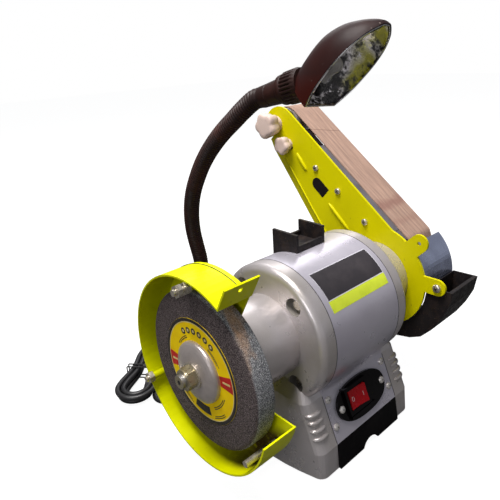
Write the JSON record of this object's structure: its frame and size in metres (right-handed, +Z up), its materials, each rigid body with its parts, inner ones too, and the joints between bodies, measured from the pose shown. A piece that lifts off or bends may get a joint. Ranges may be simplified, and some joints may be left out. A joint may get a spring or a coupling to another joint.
{
  "type": "bench grinder with belt sander",
  "caption": "Bench grinder: guarded grinding wheel on the left, tilting belt sander arm on the right, gooseneck work lamp, coolant tray, rocker switch and a cord tied in a hank.",
  "frame": {"origin": "centre of the four bench bolt holes, on the bench", "axes": "+X along the shaft from the wheel to the belt, -Y towards the user, +Z up"},
  "size_m": [0.3573, 0.4102, 0.4106],
  "materials": {
    "casting": "silver-grey paint, satin",
    "lime_paint": "fluorescent lime, gloss",
    "black_steel": "black, satin",
    "steel": "bare steel",
    "core_steel": "laminated steel",
    "zinc": "zinc plated",
    "pulley_alloy": "turned",
    "copper": "enamelled copper wire",
    "rubber": "black, matt",
    "cord_rubber": "black, satin",
    "black_plastic": "black, fine grain",
    "knob_plastic": "light warm grey",
    "red_plastic": "red, gloss",
    "lamp_plastic": "brown-black, gloss",
    "mirror_coat": "metallised",
    "bulb_glass": "clear",
    "abrasive": "coarse grey grit",
    "label": "printed paper",
    "belt_cloth": "brown abrasive cloth"
  },
  "bodies": {
    "base": {"centre_housing": "casting", "left_end_housing": "casting", "right_end_housing": "casting", "base_plate": "steel", "rubber_feet": "rubber", "base_plate_screws": "zinc", "through_bolts": "zinc", "panel_screws": "zinc", "switch_bezel": "black_plastic", "bezel_screws": "zinc", "switch_body": "black_plastic", "tool_holder": "black_plastic", "stator_core": "core_steel", "stator_windings": "copper", "left_bearing": "steel", "right_bearing": "steel", "wheel_guard": "lime_paint", "guard_screws": "zinc", "cover_studs": "zinc", "cover_nuts": "zinc", "arm_clamp_ring": "zinc", "lamp_base": "black_plastic", "lamp_base_screws": "zinc", "strain_relief": "cord_rubber", "power_cord": "cord_rubber", "cord_hank": "cord_rubber", "cord_tie": "black_plastic", "plug_cord": "cord_rubber", "plug": "cord_rubber"},
    "spindle": {"motor_shaft": "steel", "rotor_core": "core_steel", "cooling_fan": "black_plastic", "inner_flange": "steel", "grinding_wheel": "abrasive", "wheel_label": "label", "outer_flange": "steel", "arbor_nut": "zinc", "drive_pulley": "pulley_alloy", "pulley_nut": "zinc"},
    "belt_arm": {"arm_plate": "lime_paint", "platen": "steel", "platen_screws": "zinc", "sanding_belt": "belt_cloth", "deflector": "steel", "dust_chute": "black_plastic", "chute_screw": "zinc", "tension_spring": "steel"},
    "tension_slide": {"tension_bracket": "black_steel", "idler_axle": "steel"},
    "idler": {"idler_pulley": "pulley_alloy"},
    "tracking_screw": {"tracking_knob": "knob_plastic"},
    "tension_screw": {"tension_knob": "knob_plastic"},
    "rocker": {"rocker": "red_plastic"},
    "tray": {"coolant_tray": "black_plastic"},
    "neck": {"gooseneck": "black_plastic", "neck_fittings": "black_plastic"},
    "lamp": {"lamp_collar": "black_plastic", "lamp_shell": "lamp_plastic", "lamp_reflector": "mirror_coat", "lamp_bulb": "bulb_glass"}
  },
  "joints": [
    {"name": "spindle_spin", "type": "hinge", "parent": "base", "child": "spindle", "pos_m": [0, 0, 0.132], "axis": [1, 0, 0], "continuous": true},
    {"name": "arm_tilt", "type": "hinge", "parent": "base", "child": "belt_arm", "pos_m": [0, 0, 0.132], "axis": [1, 0, 0], "range_deg": [-38, 51.7]},
    {"name": "belt_tension", "type": "slide", "parent": "belt_arm", "child": "tension_slide", "axis": [0, 0.7848, 0.6198], "range_m": [-0.006, 0], "stiffness_N_per_m": 3000, "springref_m": 0.004, "deforming": ["tension_spring"]},
    {"name": "idler_spin", "type": "hinge", "parent": "tension_slide", "child": "idler", "pos_m": [0, 0.15567, 0.29954], "axis": [1, 0, 0], "continuous": true},
    {"name": "tracking_turn", "type": "hinge", "parent": "belt_arm", "child": "tracking_screw", "pos_m": [0, 0.16319, 0.30293], "axis": [1, 0, 0], "range_deg": [-180, 180]},
    {"name": "tension_turn", "type": "hinge", "parent": "tension_slide", "child": "tension_screw", "pos_m": [0, 0.14241, 0.2776], "axis": [1, 0, 0], "range_deg": [-90, 90]},
    {"name": "rocker_tip", "type": "hinge", "parent": "base", "child": "rocker", "pos_m": [-0.009, -0.06187, 0.05876], "axis": [0, 0.3779, 0.9258], "range_deg": [0, 16]},
    {"name": "tray_slide", "type": "slide", "parent": "base", "child": "tray", "axis": [0, -1, 0], "range_m": [0, 0.06]},
    {"name": "neck_swivel", "type": "hinge", "parent": "base", "child": "neck", "pos_m": [-0.071, 0.1, 0.154], "axis": [0, 0, 1], "range_deg": [-60, 30]},
    {"name": "lamp_swivel", "type": "hinge", "parent": "neck", "child": "lamp", "pos_m": [-0.0881, -0.0678, 0.3712], "axis": [0.0499, -0.9691, 0.2416], "range_deg": [-60, 60]}
  ],
  "couplings": [
    {"joint": "idler_spin", "follows": "spindle_spin", "ratio": 1.9167}
  ]
}
